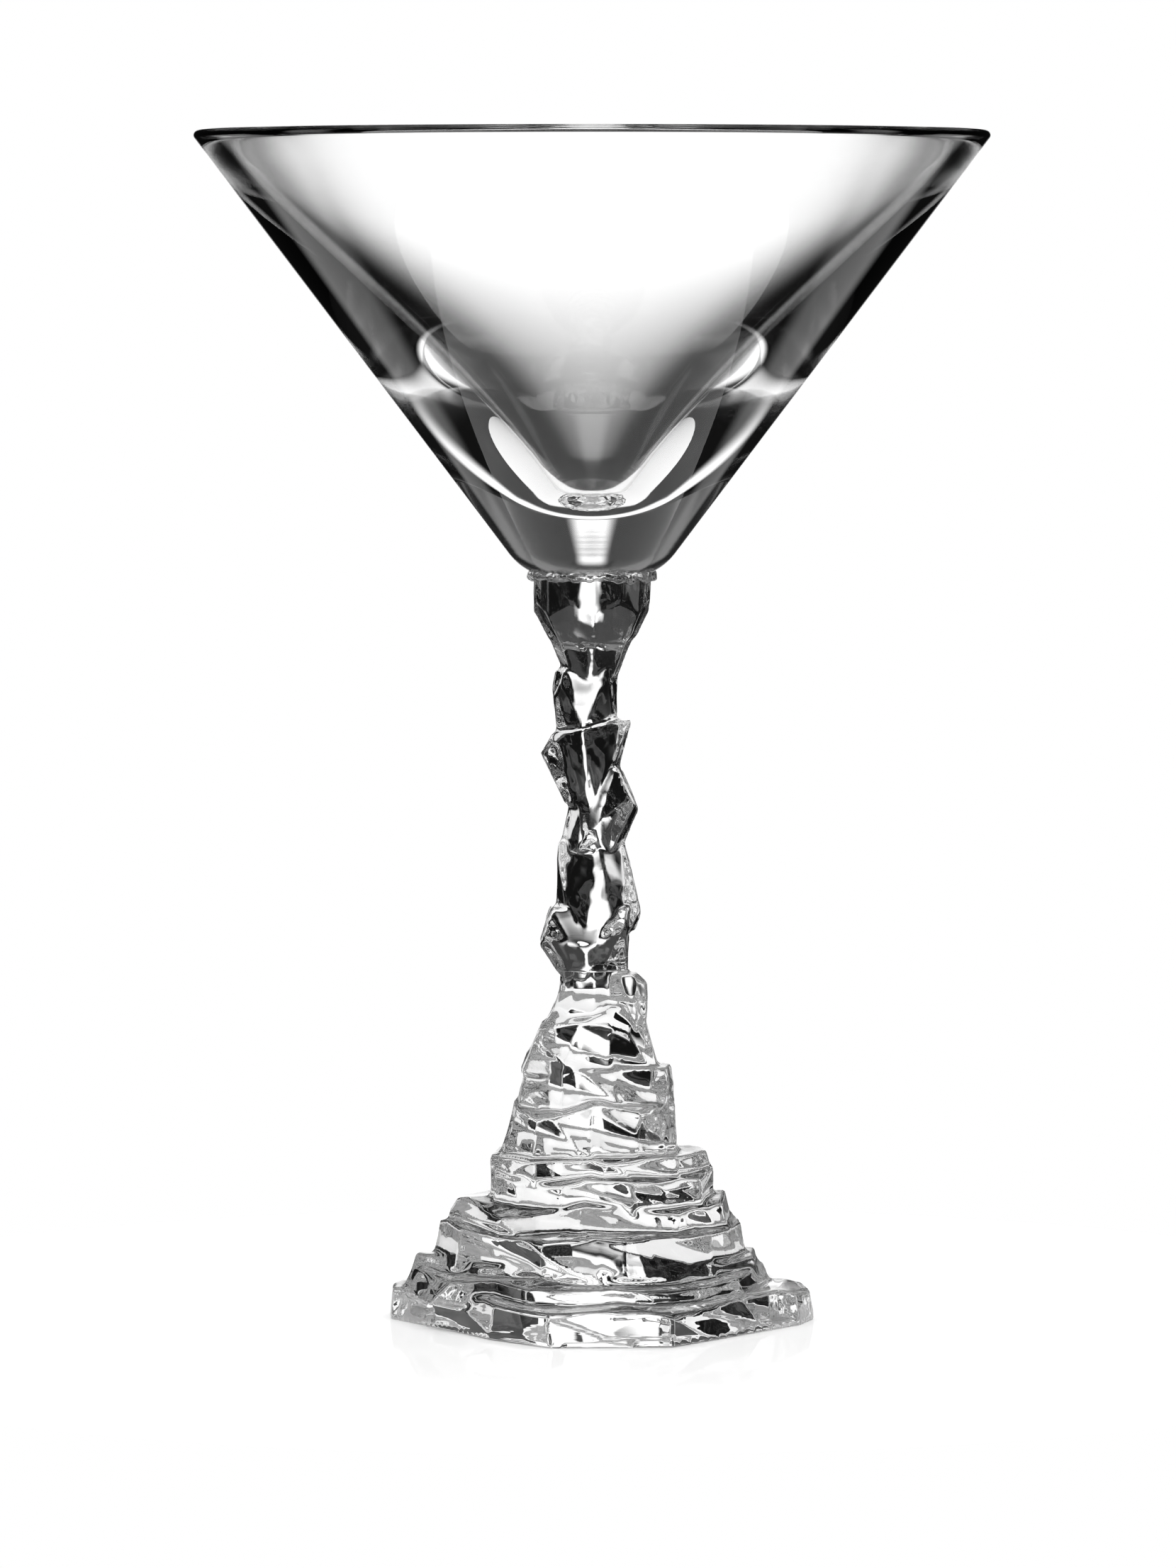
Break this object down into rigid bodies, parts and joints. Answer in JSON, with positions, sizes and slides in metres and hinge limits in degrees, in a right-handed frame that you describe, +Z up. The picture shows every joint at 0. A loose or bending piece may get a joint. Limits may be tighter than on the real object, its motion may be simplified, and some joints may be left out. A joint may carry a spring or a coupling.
{
  "type": "martini glass",
  "caption": "Clear crystal martini glass: thick cone bowl with a solid base, on a stem of faceted knops over a stepped, rock-like foot.",
  "frame": {"origin": "centre of the foot's underside, on the axis of the bowl", "axes": "+Z up along the bowl's axis, -Y towards the front, +X to the right seen from the front"},
  "size_m": [0.14, 0.14, 0.21],
  "materials": {
    "bowl_crystal": "clear lead crystal, blown, turned and fire-polished",
    "bead_crystal": "clear, uneven bead squeezed out at the joint",
    "stem_crystal": "clear lead crystal, faceted and polished",
    "foot_crystal": "clear lead crystal, pressed in ledges and fire-polished"
  },
  "bodies": {
    "root": {"bowl": "bowl_crystal", "join_bead": "bead_crystal", "stem": "stem_crystal", "foot": "foot_crystal"}
  },
  "joints": []
}
